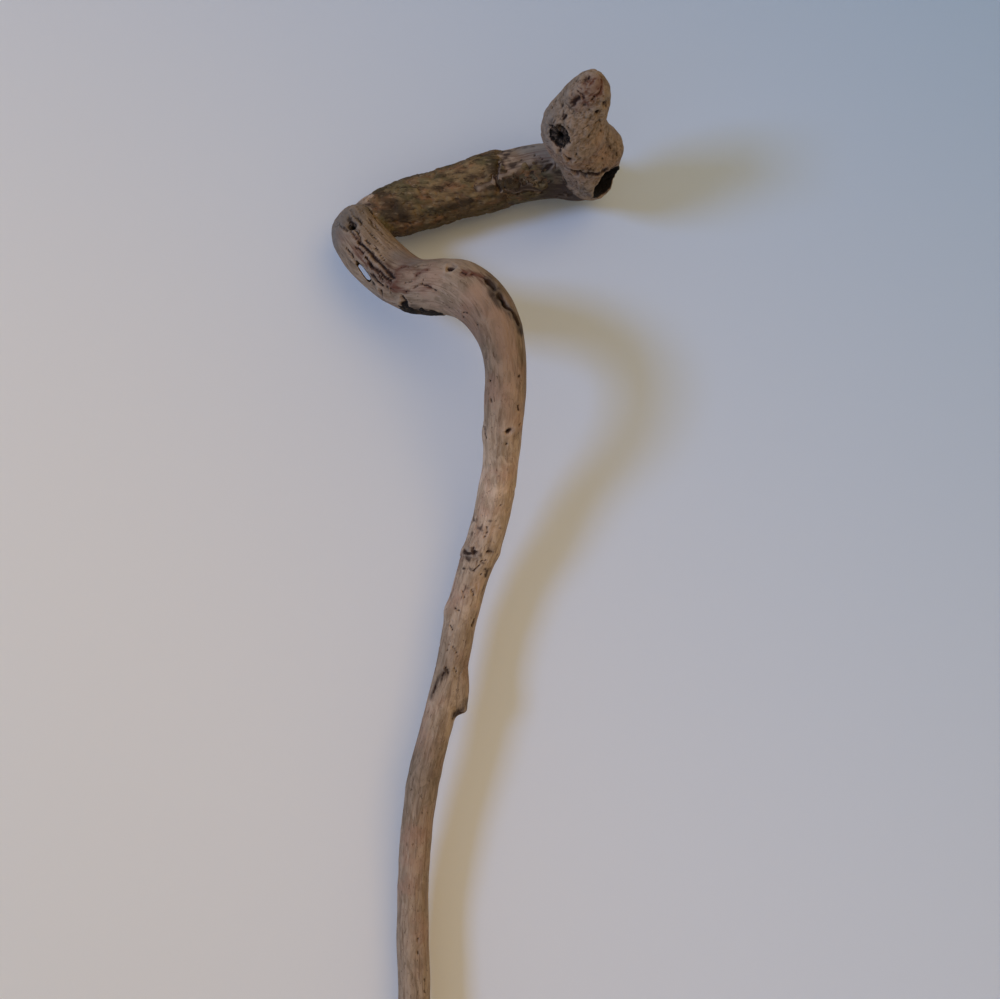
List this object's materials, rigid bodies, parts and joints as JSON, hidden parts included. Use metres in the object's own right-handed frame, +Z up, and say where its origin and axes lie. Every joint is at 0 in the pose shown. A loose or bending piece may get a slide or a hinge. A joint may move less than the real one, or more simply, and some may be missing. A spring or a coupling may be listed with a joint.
{
  "type": "walking cane",
  "caption": "Natural driftwood walking cane with a crooked shaft, a thick grip limb, a beak-like knob and one rubber tip.",
  "frame": {"origin": "centre of the rubber ferrule's flat foot face, where the cane meets the ground", "axes": "+Z up the shaft, +X from the elbow of the handle towards the knob, -Y to the front, where the bend and the knob stand out"},
  "size_m": [0.1646, 0.115, 0.8934],
  "materials": {
    "weathered_driftwood": "weathered, matt, silvery pink-brown grain",
    "mossy_bark": "rough thin bark, dark brown with olive and amber patches",
    "dark_bark": "rough, nearly black",
    "dead_knot": "dark splintered dead wood",
    "ferrule_rubber": "moulded, satin black",
    "washer_steel": "zinc plated"
  },
  "bodies": {
    "root": {"driftwood_stick": "weathered_driftwood", "limb_bark": "mossy_bark", "neck_bark": "mossy_bark", "bend_bark": "dark_bark", "head_knot": "dead_knot", "elbow_knot": "dead_knot", "rubber_ferrule": "ferrule_rubber", "ferrule_washer": "washer_steel"}
  },
  "joints": []
}
